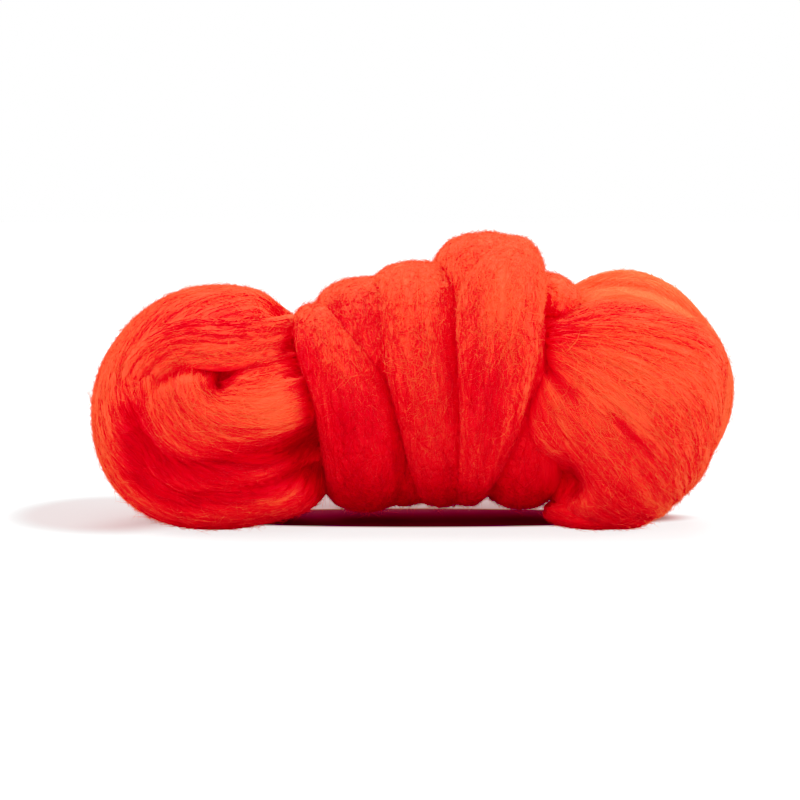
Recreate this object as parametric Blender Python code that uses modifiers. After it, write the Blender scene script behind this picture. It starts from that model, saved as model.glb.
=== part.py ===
"""A length of wool roving, doubled on itself and wound round its own middle.

The combed sliver is laid double, so that a loop stands out at each end. The rest of it is
wound in a helix round the middle, and its end is tucked in at the right. X runs along the
piece, Y points to the back, Z points up, and it lies on the plane Z = 0. Metres.
"""
import math

import bmesh
import bpy
import numpy as np

MM = 0.001
NAME = "wound_roving"

# --- left end loop: a ball with a hollow in front and behind, both open towards the wraps ------
LEFT_CENTRE = np.array([-68.2, -1.0, 38.8]) * MM
LEFT_RADII = np.array([41.2, 39.2, 42.6]) * MM
LEFT_BELOW = 40.2 * MM          # its lower radius
LEFT_WAIST = np.array([0.91, 0.12, 0.38])     # where both legs of the loop leave it
LEFT_HOLLOW = np.array([0.157, -0.911, 0.381])   # front hollow
HOLLOW_SPREAD = 2.30            # hollow to hollow, as a half distance on the projected plane
HOLLOW_DEPTH = 9 * MM
HOLLOW_RADIUS = 3.8 * MM
HOLLOW_SHARPNESS = 1.4          # 2 is a round-bottomed hollow, less is a narrower one

# --- right end loop: a fan of fibres in front, and the back leg of the loop as a ring ----------
RIGHT_CENTRE = np.array([67.8, -8.5, 41.0]) * MM
RIGHT_RADII = np.array([35.6, 33.6, 36.4]) * MM
RIGHT_BELOW = 42.0 * MM
RIGHT_SQUARE = 2.35             # roundness seen from above: 2 is round, more is boxy
RIGHT_ROOT = np.array([-0.75, -0.35, 0.56])   # where its fibres come out of the wraps
RIGHT_TURN = np.array([0.50, 0.15, -0.85])    # where they turn under
RING_CENTRE = np.array([73.0, 15.0, 44.3]) * MM
RING_MIDDLE = np.array([21.5, 25.2]) * MM     # half-lengths of its middle line, along X and Z
RING_DRAWN = 0.07               # how far the corners of that line are drawn in, as a share
RING_SECTION = np.array([16.3, 17.0]) * MM    # half-thickness in its plane and across it
RING_RIDGES = 7                 # soft ridges round its section
RING_RIDGE_HEIGHT = 0.06        # as a share of the half-thickness
RING_RIDGE_SWAY = 0.6           # radians
FOOT_CENTRE = np.array([63.0, -6.0, 5.2]) * MM
FOOT_RADII = np.array([18.5, 15.0, 6.2]) * MM

LEFT_SQUASH = 2.35              # roundness of the undersides: 2 is a ball, more is pressed flat
RIGHT_SQUASH = 1.82             # less is more pointed

# --- the wraps: where the sliver's middle line passes each side of the winding's axis ----------
# x along the piece, reach from the axis, and the sliver's width there, all in mm
SIDES = dict(top=0.0, shoulder=0.125, front=0.25, low=0.375, bottom=0.5, back=0.75)   # in turns
WRAPS = (
    dict(x=(-31.5, -27.0, -18.8, -15.2, -13.5, -17.0), reach=(24.8, 27.2, 27.8, 25.0, 28.2, 27.0),
         width=(22.0, 25.0, 27.5, 27.5, 27.0, 29.0)),
    dict(x=(-16.0, -12.0, -6.0, -4.5, -4.0, -3.0), reach=(29.6, 26.6, 17.5, 18.0, 28.0, 27.0),
         width=(34.0, 31.0, 28.0, 28.0, 28.0, 28.0)),
    dict(x=(1.5, 2.0, 4.6, 7.4, 9.0, 15.0), reach=(32.4, 32.3, 29.5, 26.5, 31.2, 31.0),
         width=(33.0, 29.0, 25.0, 23.0, 23.0, 30.0)),
    dict(x=(25.5, 28.0, 32.0, 34.5, 37.0, 33.0), reach=(37.4, 30.2, 25.0, 28.0, 37.2, 32.0),
         width=(33.0, 29.0, 27.0, 28.0, 28.0, 28.0)),
    dict(x=(35.0, 28.5, 26.0, 22.5, 18.0, 31.0), reach=(34.0, 37.3, 34.0, 30.5, 32.5, 33.0),
         width=(17.5, 27.0, 24.0, 19.5, 16.0, 24.0)),
)
WRAP_START = dict(x=-33.0, reach=20.0, width=17.0)     # under the first wrap, at the back
WRAP_TUCK = dict(x=45.5, reach=24.0, width=20.0)       # the tucked end, at the top
START_TURN = -0.25
START_ROUNDING = 0.05           # turns over which the hidden end rounds off
TUCK_TURN = 5.13
TUCK_ROUNDING = 0.12
TUCK_THINNING = 0.4             # turns over which the sliver thins towards the tuck
AXIS_HEIGHT = 46.6 * MM         # of the winding's axis at X = 0
AXIS_SLOPE = 0.187
SLIVER_THICK = 22 * MM
TUCK_THICK = 13 * MM
SLIVER_SQUARE = 2.1             # 2 is an ellipse

CORE_CENTRE = np.array([8.0, 0.0, 48.0]) * MM
CORE_RADII = np.array([66.0, 29.0, 31.0]) * MM

# --- folds in the loops --------------------------------------------------------------------------
# in mm: x and z of points along each and the strength there, then its half-width, depth and the
# height of its raised side
FOLDS = dict(
    left=(
        # the crease between the legs, from the hollow to the wraps
        dict(x=(-62.9, -54.7, -45.5, -36.0), z=(53.0, 57.0, 58.6, 63.5), strength=(0.6, 1, 0.5, 0),
             width=2.6, depth=4.4, step=0.0),
        # the outer band's edge, over the inner turn
        dict(x=(-61.0, -69.0, -78.0, -84.6, -88.6, -91.6), z=(54.8, 56.6, 55.6, 51.8, 46.6, 40.0),
             strength=(1, 1, 1, 0.9, 0.7, 0.3), width=2.2, depth=3.0, step=2.0),
        # two furrows round the inner turn
        dict(x=(-92.6, -88.5, -80.4, -70.5, -59.0, -47.5, -36.3),
             z=(40.3, 29.4, 23.9, 22.4, 24.4, 28.1, 31.7), strength=(0.5, 1, 1, 1, 0.9, 0.8, 0.6),
             width=5.4, depth=6.6, step=0.0),
        dict(x=(-95.4, -91.9, -85.3, -76.7, -59.5, -42.2, -34.9),
             z=(33.9, 21.6, 16.3, 12.6, 13.9, 19.3, 22.0), strength=(0.4, 0.9, 1, 1, 1, 1, 0.7),
             width=2.6, depth=3.6, step=0.0),
    ),
    right=(
        dict(x=(63.4, 70.0, 76.6), z=(43.3, 35.8, 29.2), strength=(0.6, 1, 0.6), width=2.4,
             depth=1.4, step=0.0),
        dict(x=(40.7, 52.1), z=(60.1, 48.7), strength=(1, 0.6), width=3.0, depth=1.6, step=0.0),
    ),
)
# swells in the front of the loops, in mm: x, z, their half-widths and their height; one that is
# upright by 0 moves the wool level, and not up or down
SWELLS = dict(
    left=(
        dict(x=-46.0, z=44.0, half_x=15.0, half_z=10.0, height=7.0),
        dict(x=-39.0, z=14.0, half_x=13.0, half_z=9.0, height=5.0),
        dict(x=-43.0, z=74.0, half_x=6.0, half_z=7.0, height=-2.5),
        dict(x=-100.0, z=68.0, half_x=16.0, half_z=16.0, height=-1.5),
    ),
    right=(
        dict(x=36.0, z=44.0, half_x=10.0, half_z=14.0, height=4.0),
        dict(x=43.0, z=17.0, half_x=10.0, half_z=8.0, height=-20.0, upright=0.0),
        dict(x=45.0, z=66.0, half_x=8.0, half_z=7.0, height=4.0),
    ),
)

FOLD_STEPS = 40
FRONT_SHARE = 0.5               # of a fold or swell that is left at the outline
FRONT_FADE = 2.5

# --- making of the solid -----------------------------------------------------------------------
LOOP_STEPS = 97                 # grid lines of a loop, each way
SECTION_STEPS = 49              # round a section
WRAP_STEPS = 400                # along the winding
LEG_REACH = 4.2                 # how far the left loop's grid follows its legs
LEG_CROWDING = 1.6              # how much closer its lines are at the hollow
LEG_END = 12.0                  # far enough for both legs to meet in one point
BALL_SUBDIVISIONS = 5
FLOOR_SIZE = 0.4
WELD = 0.01 * MM
VOXEL = 1.2 * MM
SMOOTH_STEPS = 5
TRIANGLES_KEPT = 0.065           # share of the remeshed surface's triangles
WOOL_COLOUR = (0.90, 0.035, 0.02, 1.0)
WOOL_ROUGHNESS = 0.9


def unit(vector):
    return vector / np.linalg.norm(vector)


def smooth_between(where, knots, values):
    """A smooth curve through values at the knots, read at any places (cubic Hermite)."""
    knots, values = np.asarray(knots, float), np.asarray(values, float)
    slope = np.gradient(values, knots)
    index = np.clip(np.searchsorted(knots, where) - 1, 0, len(knots) - 2)
    step = knots[index + 1] - knots[index]
    t = np.clip((where - knots[index]) / step, 0, 1)
    rise = values[index + 1] - values[index]
    return (values[index] + rise * t * t * (3 - 2 * t)
            + step * t * (1 - t) * (slope[index] * (1 - t) - slope[index + 1] * t))


def ball_radius(direction, radii, below, squash, square=2.0):
    """Distance to the surface of a ball whose lower half is pressed towards a box."""
    under = direction[..., 2] < 0
    power = np.where(under, squash, 2.0)
    level = (np.abs(direction[..., :2] / radii[:2]) ** square).sum(-1) ** (1 / square)
    upright = np.abs(direction[..., 2]) / np.where(under, below, radii[2])
    return (level ** power + upright ** power) ** (-1 / power)


def folded(points, outward, side):
    """Move front points along their outward direction, by the folds and swells of one loop."""
    front = np.clip(FRONT_SHARE - FRONT_FADE * outward[..., 1], 0, 1)
    lift, moved = np.zeros(points.shape[:-1]), np.zeros(points.shape)
    for fold in FOLDS[side]:
        knots = np.arange(len(fold["x"]))
        where = np.linspace(0, len(knots) - 1, FOLD_STEPS)
        path = MM * np.column_stack([smooth_between(where, knots, fold[key]) for key in ("x", "z")])
        away = points[..., None, [0, 2]] - path
        distance = np.linalg.norm(away, axis=-1)
        nearest = distance.argmin(-1)
        gap = distance.min(-1) / (fold["width"] * MM)
        strength = smooth_between(where, knots, fold["strength"])[nearest]
        along = np.gradient(path, axis=0)[nearest]
        offset = np.take_along_axis(away, nearest[..., None, None], -2)[..., 0, :]
        raised = along[..., 1] * offset[..., 0] - along[..., 0] * offset[..., 1] < 0
        lift -= strength * fold["depth"] * MM * np.exp(-gap ** 2)
        lift += strength * fold["step"] * MM * raised * np.exp(-(gap / 3) ** 2)
    for swell in SWELLS[side]:
        across = (points[..., 0] / MM - swell["x"]) / swell["half_x"]
        upward = (points[..., 2] / MM - swell["z"]) / swell["half_z"]
        bell = swell["height"] * MM * np.exp(-across ** 2 - upward ** 2)
        moved += (bell * front)[..., None] * outward * (1, 1, swell.get("upright", 1.0))
    return points + outward * (lift * front)[..., None] + moved


def left_loop(along, across):
    """The left loop's surface. Its fibres are hyperbolas about the two hollows, projected on a ball.

    along runs from leg to leg, and across goes from 0 at the front crease to pi at the back one.
    """
    waist = unit(LEFT_WAIST)
    hollow = unit(LEFT_HOLLOW - LEFT_HOLLOW.dot(waist) * waist)
    upward = np.cross(waist, hollow)
    upward *= np.sign(upward[2])
    plane = HOLLOW_SPREAD * np.cosh(along + 1j * across)
    spread = np.abs(plane) ** 2
    outward = (-(4 - spread)[..., None] * waist + 4 * plane.real[..., None] * hollow
               + 4 * plane.imag[..., None] * upward) / (4 + spread)[..., None]
    points = LEFT_CENTRE + outward * ball_radius(outward, LEFT_RADII, LEFT_BELOW, LEFT_SQUASH)[..., None]
    for pole in (HOLLOW_SPREAD, -HOLLOW_SPREAD):
        bottom = (-(4 - pole ** 2) * waist + 4 * pole * hollow) / (4 + pole ** 2)
        away = np.linalg.norm(outward - bottom, axis=-1) * LEFT_RADII[0] / HOLLOW_RADIUS
        points = points - outward * (HOLLOW_DEPTH * np.exp(-away ** HOLLOW_SHARPNESS))[..., None]
    return folded(points, outward, "left")


def right_fan(along, around):
    """The front of the right loop: meridians from its root to its turn, which aren't opposite.

    along goes from 0 to pi. A ball's straight meridians are drawn together towards one side.
    """
    root, turn = unit(RIGHT_ROOT), unit(RIGHT_TURN)
    pole, lean = unit(root - turn), unit(root + turn)
    other = np.cross(pole, lean)
    pull = root.dot(lean)
    sine = np.sin(along)
    towards = sine * np.cos(around)
    straight = (np.cos(along)[..., None] * pole + (sine * np.sin(around))[..., None] * other)
    outward = ((pull + towards)[..., None] * lean + math.sqrt(1 - pull ** 2) * straight)
    outward = outward / (1 + pull * towards)[..., None]
    reach = ball_radius(outward, RIGHT_RADII, RIGHT_BELOW, RIGHT_SQUASH, RIGHT_SQUARE)
    points = RIGHT_CENTRE + outward * reach[..., None]
    return folded(points, outward, "right")


def back_ring(along, around):
    """The right loop's back leg, a ring in the XZ plane with a ridged oval section."""
    outward = np.stack([np.cos(along), 0 * along, np.sin(along)], -1)
    ridge = 1 + RING_RIDGE_HEIGHT * np.cos(RING_RIDGES * around + RING_RIDGE_SWAY * np.sin(along))
    reach = (ridge * np.cos(around))[..., None] * outward * RING_SECTION[0]
    drawn = 1 - RING_DRAWN * np.sin(2 * along) ** 2
    line = outward * drawn[..., None] * np.array([RING_MIDDLE[0], 0, RING_MIDDLE[1]])
    depth = np.stack([0 * around, ridge * np.sin(around), 0 * around], -1) * RING_SECTION[1]
    return RING_CENTRE + line + reach + depth


def winding_table(column, turn):
    """One column of the wraps' table, from the start to the tuck, read at each turn count."""
    values = [WRAP_START[column]] + [value for wrap in WRAPS for value in wrap[column]]
    knots = [START_TURN] + [count + side for count in range(len(WRAPS)) for side in SIDES.values()]
    values += [WRAP_TUCK[column]] * 2
    knots += [len(WRAPS), len(WRAPS) + SIDES["front"]]
    return smooth_between(turn, knots, values) * MM


def winding_line(turn):
    """Middle line of the wound sliver, and the direction away from the axis, at each turn count."""
    x = winding_table("x", turn)
    angle = 2 * math.pi * turn
    outward = np.stack([0 * angle, -np.sin(angle), np.cos(angle)], -1)
    axis = np.stack([x, 0 * x, AXIS_HEIGHT + AXIS_SLOPE * x], -1)
    return axis + outward * winding_table("reach", turn)[..., None], outward


def wraps(turn, around):
    """The wound sliver: a squarish oval carried along the winding line, thinner at its ends."""
    nearby = 0.001
    middle, outward = winding_line(turn)
    tangent = winding_line(turn + nearby)[0] - winding_line(turn - nearby)[0]
    tangent /= np.linalg.norm(tangent, axis=-1)[..., None]
    outward = outward - (outward * tangent).sum(-1)[..., None] * tangent
    outward /= np.linalg.norm(outward, axis=-1)[..., None]
    sideways = np.cross(tangent, outward)
    tuck = np.clip((turn - len(WRAPS)) / TUCK_THINNING + 1, 0, 1)
    rounding = np.sqrt(1 - np.clip(1 - (turn - START_TURN) / START_ROUNDING, 0, 1) ** 2)
    rounding *= np.sqrt(1 - np.clip(1 - (TUCK_TURN - turn) / TUCK_ROUNDING, 0, 1) ** 2)
    width = winding_table("width", turn) / 2 * rounding
    thick = (SLIVER_THICK + (TUCK_THICK - SLIVER_THICK) * tuck) / 2 * rounding
    cosine, sine = np.cos(around), np.sin(around)
    power = 2 / SLIVER_SQUARE
    beside = width * np.sign(cosine) * np.abs(cosine) ** power
    above = thick * np.sign(sine) * np.abs(sine) ** power
    return middle + sideways * beside[..., None] + outward * above[..., None]


def grid_object(name, surface, first, second, collection):
    """A closed object from a surface of two parameters, with its seams and poles welded."""
    rows, columns = np.meshgrid(first, second, indexing="ij")
    points = surface(rows, columns).reshape(-1, 3)
    count = len(second)
    corner = (np.arange(len(first) - 1)[:, None] * count + np.arange(count - 1)).ravel()
    faces = np.column_stack([corner, corner + 1, corner + count + 1, corner + count])
    mesh = bpy.data.meshes.new(name)
    mesh.from_pydata(points.tolist(), [], faces.tolist())
    shape = bmesh.new()
    shape.from_mesh(mesh)
    bmesh.ops.remove_doubles(shape, verts=shape.verts, dist=WELD)
    bmesh.ops.recalc_face_normals(shape, faces=shape.faces)
    shape.to_mesh(mesh)
    shape.free()
    form = bpy.data.objects.new(name, mesh)
    collection.objects.link(form)
    return form


def ball_object(name, centre, radii, collection):
    """A ball with its own radius along each axis."""
    mesh = bpy.data.meshes.new(name)
    shape = bmesh.new()
    bmesh.ops.create_icosphere(shape, subdivisions=BALL_SUBDIVISIONS, radius=1)
    bmesh.ops.scale(shape, vec=radii.tolist(), verts=shape.verts)
    bmesh.ops.translate(shape, vec=centre.tolist(), verts=shape.verts)
    shape.to_mesh(mesh)
    shape.free()
    form = bpy.data.objects.new(name, mesh)
    collection.objects.link(form)
    return form


def wool_material():
    material = bpy.data.materials.new("red_wool")
    material.use_nodes = True
    shader = material.node_tree.nodes["Principled BSDF"]
    shader.inputs["Base Color"].default_value = WOOL_COLOUR
    shader.inputs["Roughness"].default_value = WOOL_ROUGHNESS
    shader.inputs["Metallic"].default_value = 0.0
    return material


def make_forms(collection):
    """The loops, the wraps and the core, as overlapping closed forms."""
    half = np.linspace(0, math.pi, LOOP_STEPS)
    full = np.linspace(0, 2 * math.pi, LOOP_STEPS)
    section = np.linspace(0, 2 * math.pi, SECTION_STEPS)
    legs = np.linspace(-1, 1, LOOP_STEPS)
    legs = LEG_REACH * np.sinh(LEG_CROWDING * legs) / math.sinh(LEG_CROWDING)
    legs = np.concatenate([[-LEG_END], legs, [LEG_END]])
    crowded = math.pi * (1 - np.cos(half)) / 2
    turns = np.linspace(START_TURN, TUCK_TURN, WRAP_STEPS)
    return [
        grid_object("form_left_loop", left_loop, legs, crowded, collection),
        grid_object("form_right_fan", right_fan, half, full, collection),
        grid_object("form_back_ring", back_ring, full, section, collection),
        grid_object("form_wraps", wraps, turns, section, collection),
        ball_object("form_core", CORE_CENTRE, CORE_RADII, collection),
        ball_object("form_foot", FOOT_CENTRE, FOOT_RADII, collection),
    ]


def make_roving(forms, collection, floor_cutter):
    """One body: the forms joined, fused, smoothed, thinned and pressed flat underneath."""
    shape = bmesh.new()
    for form in forms:
        shape.from_mesh(form.data)
    corners = np.array([vertex.co for vertex in shape.verts])
    centre = (corners.min(0) + corners.max(0)) / 2
    bmesh.ops.translate(shape, vec=(-centre[0], -centre[1], 0), verts=shape.verts)
    mesh = bpy.data.meshes.new(NAME)
    shape.to_mesh(mesh)
    shape.free()
    roving = bpy.data.objects.new(NAME, mesh)
    collection.objects.link(roving)
    fuse = roving.modifiers.new("fuse", "REMESH")
    fuse.mode = "VOXEL"
    fuse.voxel_size = VOXEL
    smooth = roving.modifiers.new("smooth", "SMOOTH")
    smooth.factor = 0.5
    smooth.iterations = SMOOTH_STEPS
    thin = roving.modifiers.new("thin", "DECIMATE")
    thin.ratio = TRIANGLES_KEPT
    press = roving.modifiers.new("press", "BOOLEAN")
    press.operation = "DIFFERENCE"
    press.solver = "EXACT"
    press.object = floor_cutter
    return roving


def make_floor_cutter(collection):
    """A block whose top is the plane that the roving lies on."""
    mesh = bpy.data.meshes.new("floor_cutter")
    shape = bmesh.new()
    bmesh.ops.create_cube(shape, size=FLOOR_SIZE)
    bmesh.ops.translate(shape, vec=(0, 0, -FLOOR_SIZE / 2), verts=shape.verts)
    shape.to_mesh(mesh)
    shape.free()
    cutter = bpy.data.objects.new("floor_cutter", mesh)
    cutter.hide_render = True
    cutter.display_type = "WIRE"
    collection.objects.link(cutter)
    return cutter


def main():
    for thing in list(bpy.data.objects):
        bpy.data.objects.remove(thing)
    parts = bpy.data.collections.new(NAME)
    guides = bpy.data.collections.new("cutters_and_guides")
    for group in (parts, guides):
        bpy.context.scene.collection.children.link(group)
    forms = make_forms(guides)
    for form in forms:
        form.hide_render = True
        form.display_type = "WIRE"
    roving = make_roving(forms, parts, make_floor_cutter(guides))
    roving.data.materials.append(wool_material())


main()
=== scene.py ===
import itertools
import math
import bmesh
import bpy
import numpy as np
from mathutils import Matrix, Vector


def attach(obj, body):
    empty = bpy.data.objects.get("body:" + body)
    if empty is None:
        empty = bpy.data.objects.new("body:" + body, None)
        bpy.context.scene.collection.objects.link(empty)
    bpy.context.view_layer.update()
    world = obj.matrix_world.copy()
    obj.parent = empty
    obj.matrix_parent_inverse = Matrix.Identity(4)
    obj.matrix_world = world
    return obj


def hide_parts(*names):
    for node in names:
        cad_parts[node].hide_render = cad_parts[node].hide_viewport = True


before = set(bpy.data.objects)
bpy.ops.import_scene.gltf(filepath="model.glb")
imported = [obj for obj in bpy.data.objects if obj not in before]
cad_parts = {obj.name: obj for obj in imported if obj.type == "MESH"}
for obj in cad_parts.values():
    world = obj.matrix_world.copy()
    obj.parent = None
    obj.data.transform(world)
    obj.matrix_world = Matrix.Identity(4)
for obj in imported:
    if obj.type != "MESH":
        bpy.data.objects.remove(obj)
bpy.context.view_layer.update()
mm = 0.001
seed = 41                 # of every random draw
fullTurn = 2 * math.pi


# a vector over its own length
def unitVector(vector):
    return vector / np.linalg.norm(vector, axis=-1)[..., None]


# a cubic through values at the knots, its slope at each knot taken from the knot's neighbours
def smoothBetween(where, knots, values):
    knots, values = np.asarray(knots, float), np.asarray(values, float)
    slope = np.gradient(values, knots)
    index = np.clip(np.searchsorted(knots, where) - 1, 0, len(knots) - 2)
    step = knots[index + 1] - knots[index]
    t = np.clip((where - knots[index]) / step, 0, 1)
    rise = values[index + 1] - values[index]
    return (values[index] + rise * t * t * (3 - 2 * t)
            + step * t * (1 - t) * (slope[index] * (1 - t) - slope[index + 1] * t))


noiseSize = 64            # lattice points along each side
noiseTable = np.random.default_rng(seed).random((noiseSize, noiseSize, noiseSize))


# random numbers on a lattice of whole numbers, blended between its eight corners; -1 to 1
def softNoise(x, y, z):
    x, y, z = np.broadcast_arrays(x, y, z)
    cells = [np.floor(axis).astype(int) for axis in (x, y, z)]
    parts = [axis - cell for axis, cell in zip((x, y, z), cells)]
    parts = [part * part * (3 - 2 * part) for part in parts]
    total = np.zeros(x.shape)
    for corner in itertools.product((0, 1), repeat=3):
        weight = np.ones(x.shape)
        for part, step in zip(parts, corner):
            weight = weight * (part if step else 1 - part)
        i, j, k = ((cell + step) % noiseSize for cell, step in zip(cells, corner))
        total += weight * noiseTable[i, j, k]
    return 2 * total - 1


# distance from a ball's centre to its skin; the lower half is pressed towards a box by a higher
# power, and "square" does the same to its outline seen from above
def ballReach(direction, ball):
    under = direction[..., 2] < 0
    power = np.where(under, ball["squash"], 2.0)
    square = ball["square"]
    level = (np.abs(direction[..., :2] / ball["radii"][:2]) ** square).sum(-1) ** (1 / square)
    upright = np.abs(direction[..., 2]) / np.where(under, ball["below"], ball["radii"][2])
    return mm * (level ** power + upright ** power) ** (-1 / power)


# a bell curve of x and z: its middle, its half-widths and its size, all in mm but the size of a
# painted light or shade spot
def spot(x, z, halfX, halfZ, size, upright=1.0):
    return dict(x=x, z=z, halfX=halfX, halfZ=halfZ, size=size, upright=upright)


def spotBell(place, x, z):
    return place["size"] * np.exp(-((x - place["x"]) / place["halfX"]) ** 2
                                  - ((z - place["z"]) / place["halfZ"]) ** 2)


# the loop at the left end
leftLoop = dict(
    centre=np.array([-68.2, -1.0, 38.8]), radii=np.array([41.2, 39.2, 42.6]), below=40.2,
    squash=2.35, square=2.0,
    waist=np.array([0.91, 0.12, 0.38]),          # towards the wraps, where both legs go
    hollow=np.array([0.157, -0.911, 0.381]),     # the front hollow
    spread=2.30, hollowDepth=9.0, hollowRadius=3.8, hollowSharpness=1.4,
    # x and z of points along each fold and its strength there; its half-width, depth, step and the
    # painted shade laid along its crease
    folds=(
        dict(x=(-62.9, -54.7, -45.5, -36.0), z=(53.0, 57.0, 58.6, 63.5), strength=(0.6, 1, 0.5, 0),
             width=2.6, depth=3.8, paintedShading=-0.4),
        dict(x=(-61.0, -69.0, -78.0, -84.6, -88.6, -91.6), z=(54.8, 56.6, 55.6, 51.8, 46.6, 40.0),
             strength=(1, 1, 0.8, 0.5, 0.2, 0), width=2.2, depth=2.6, step=1.0, paintedShading=-0.3),
        dict(x=(-92.6, -88.5, -80.4, -70.5, -59.0, -47.5, -36.3),
             z=(40.3, 29.4, 23.9, 22.4, 24.4, 28.1, 31.7), strength=(0.5, 1, 1, 1, 0.9, 0.8, 0.6),
             width=5.4, depth=6.6, paintedShading=-1.4),
        dict(x=(-95.4, -91.9, -85.3, -76.7, -59.5, -42.2, -34.9),
             z=(33.9, 21.6, 16.3, 12.6, 13.9, 19.3, 22.0), strength=(0.4, 0.9, 1, 1, 1, 1, 0.7),
             width=3.2, depth=4.6, paintedShading=-1.5),
    ),
    swells=(
        spot(-46, 44, 15, 10, 7),
        spot(-39, 14, 13, 9, 5),
        spot(-43, 74, 6, 7, -2.5),
        spot(-52, 83, 8, 8, 3),
        spot(-100, 68, 16, 16, -1.5),
    ),
)


# points on a fold's path, how much broader its step is than its groove, and how both fade sideways
foldForm = dict(pathSteps=40, stepBreadth=3.0, frontShare=0.5, frontRise=2.5)


# x and z in mm of points along a fold, and its strength at each
def foldPath(fold):
    knots = np.arange(len(fold["x"]))
    where = np.linspace(0, len(knots) - 1, foldForm["pathSteps"])
    x, z, strength = (smoothBetween(where, knots, fold[key]) for key in ("x", "z", "strength"))
    return np.column_stack([x, z]), strength


# points are moved outwards by the folds (a bell curve of the distance to the fold's path, and a
# step on its raised side) and by the swells (a bell curve of x and z, and an "upright" of 0 keeps
# that move level); both fade at the outline
def folded(points, outward, loop):
    front = np.clip(foldForm["frontShare"] - foldForm["frontRise"] * outward[..., 1], 0, 1)
    lift, moved = np.zeros(points.shape[:-1]), np.zeros(points.shape)
    for fold in loop["folds"]:
        path, strength = foldPath(fold)
        away = points[..., None, [0, 2]] - mm * path
        distance = np.linalg.norm(away, axis=-1)
        nearest = distance.argmin(-1)
        gap = distance.min(-1) / (fold["width"] * mm)
        strength = strength[nearest]
        along = np.gradient(mm * path, axis=0)[nearest]
        offset = np.take_along_axis(away, nearest[..., None, None], -2)[..., 0, :]
        raised = along[..., 1] * offset[..., 0] - along[..., 0] * offset[..., 1] < 0
        lift -= strength * fold["depth"] * mm * np.exp(-gap ** 2)
        step = fold.get("step", 0.0) * mm * raised
        lift += strength * step * np.exp(-(gap / foldForm["stepBreadth"]) ** 2)
    for swell in loop["swells"]:
        bell = mm * spotBell(swell, points[..., 0] / mm, points[..., 2] / mm)
        moved += (bell * front)[..., None] * outward * (1, 1, swell["upright"])
    return points + outward * (lift * front)[..., None] + moved


# fibres are hyperbolas about the two hollows: "along" runs from leg to leg, "across" goes from 0 at
# the front crease to pi at the back one. They are laid on a ball of radius 1 from a plane that
# touches it, by lines through the ball's far pole, hence each 4
def leftSurface(along, across):
    waist = unitVector(leftLoop["waist"])
    hollow = unitVector(leftLoop["hollow"] - leftLoop["hollow"].dot(waist) * waist)
    upward = np.cross(waist, hollow)
    upward *= np.sign(upward[2])
    plane = leftLoop["spread"] * np.cosh(along + 1j * across)
    spread = np.abs(plane) ** 2
    outward = (-(4 - spread)[..., None] * waist + 4 * plane.real[..., None] * hollow
               + 4 * plane.imag[..., None] * upward) / (4 + spread)[..., None]
    points = leftLoop["centre"] * mm + outward * ballReach(outward, leftLoop)[..., None]
    for pole in (leftLoop["spread"], -leftLoop["spread"]):    # the front hollow and the back one
        bottom = (-(4 - pole ** 2) * waist + 4 * pole * hollow) / (4 + pole ** 2)
        away = np.linalg.norm(outward - bottom, axis=-1) * leftLoop["radii"][0]
        away = (away / leftLoop["hollowRadius"]) ** leftLoop["hollowSharpness"]
        points = points - outward * (leftLoop["hollowDepth"] * mm * np.exp(-away))[..., None]
    return folded(points, outward, leftLoop)


# the outer band of the left loop lies over its inner turn: x and z of its middle line and its
# half-width there, how deep that line lies, its half-thickness, and its lean in degrees
band = dict(
    x=(-36.0, -46.0, -55.0, -63.0, -71.0, -79.5, -87.0, -92.5, -96.0),
    z=(70.0, 67.5, 66.0, 65.3, 66.3, 65.0, 60.5, 54.5, 46.0),
    width=(5.0, 7.0, 8.5, 9.3, 9.5, 9.3, 8.8, 7.5, 6.0),
    depth=(2.3, 2.2, 2.2, 2.1, 2.1, 2.3, 2.6, 3.2, 4.2),
    thick=3.4, lean=9.0, square=2.2,
    roundedStart=0.05, roundedEnd=0.1,           # shares of its length
    firstY=-20.0, rounds=12, step=0.002,         # for setting its line on the ball
)


# a squarish oval carried along that line, which is set on the ball: the ball's y at an x and z
# comes from turning the direction until its reach gives both
def bandSurface(along, around):
    knots = np.linspace(0, 1, len(band["x"]))

    def line(where):
        x = smoothBetween(where, knots, band["x"]) - leftLoop["centre"][0]
        z = smoothBetween(where, knots, band["z"]) - leftLoop["centre"][2]
        y = band["firstY"] + 0 * x
        for _ in range(band["rounds"]):
            direction = unitVector(np.stack([x, y, z], -1))
            reach = ballReach(direction, leftLoop) / mm
            y = -np.sqrt(np.maximum(reach ** 2 - x ** 2 - z ** 2, 1.0))
        return np.stack([x, y, z], -1)

    middle, step = line(along), band["step"]
    tangent = unitVector(line(np.minimum(along + step, 1)) - line(np.maximum(along - step, 0)))
    outward = unitVector(middle)
    outward = unitVector(outward - (outward * tangent).sum(-1)[..., None] * tangent)
    sideways = np.cross(tangent, outward)
    lean = math.radians(band["lean"])
    sideways, outward = (math.cos(lean) * sideways + math.sin(lean) * outward,
                         math.cos(lean) * outward - math.sin(lean) * sideways)
    ends = np.sqrt(1 - np.clip(1 - along / band["roundedStart"], 0, 1) ** 2)
    ends = ends * np.sqrt(1 - np.clip(1 - (1 - along) / band["roundedEnd"], 0, 1) ** 2)
    power = 2 / band["square"]
    cosine, sine = np.cos(around), np.sin(around)
    beside = smoothBetween(along, knots, band["width"]) * np.sign(cosine) * np.abs(cosine) ** power
    above = band["thick"] * np.sign(sine) * np.abs(sine) ** power
    depth = smoothBetween(along, knots, band["depth"])[..., None]
    points = (middle - unitVector(middle) * depth + sideways * (ends * beside)[..., None]
              + outward * (ends * above)[..., None])
    return mm * (leftLoop["centre"] + points)


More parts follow.
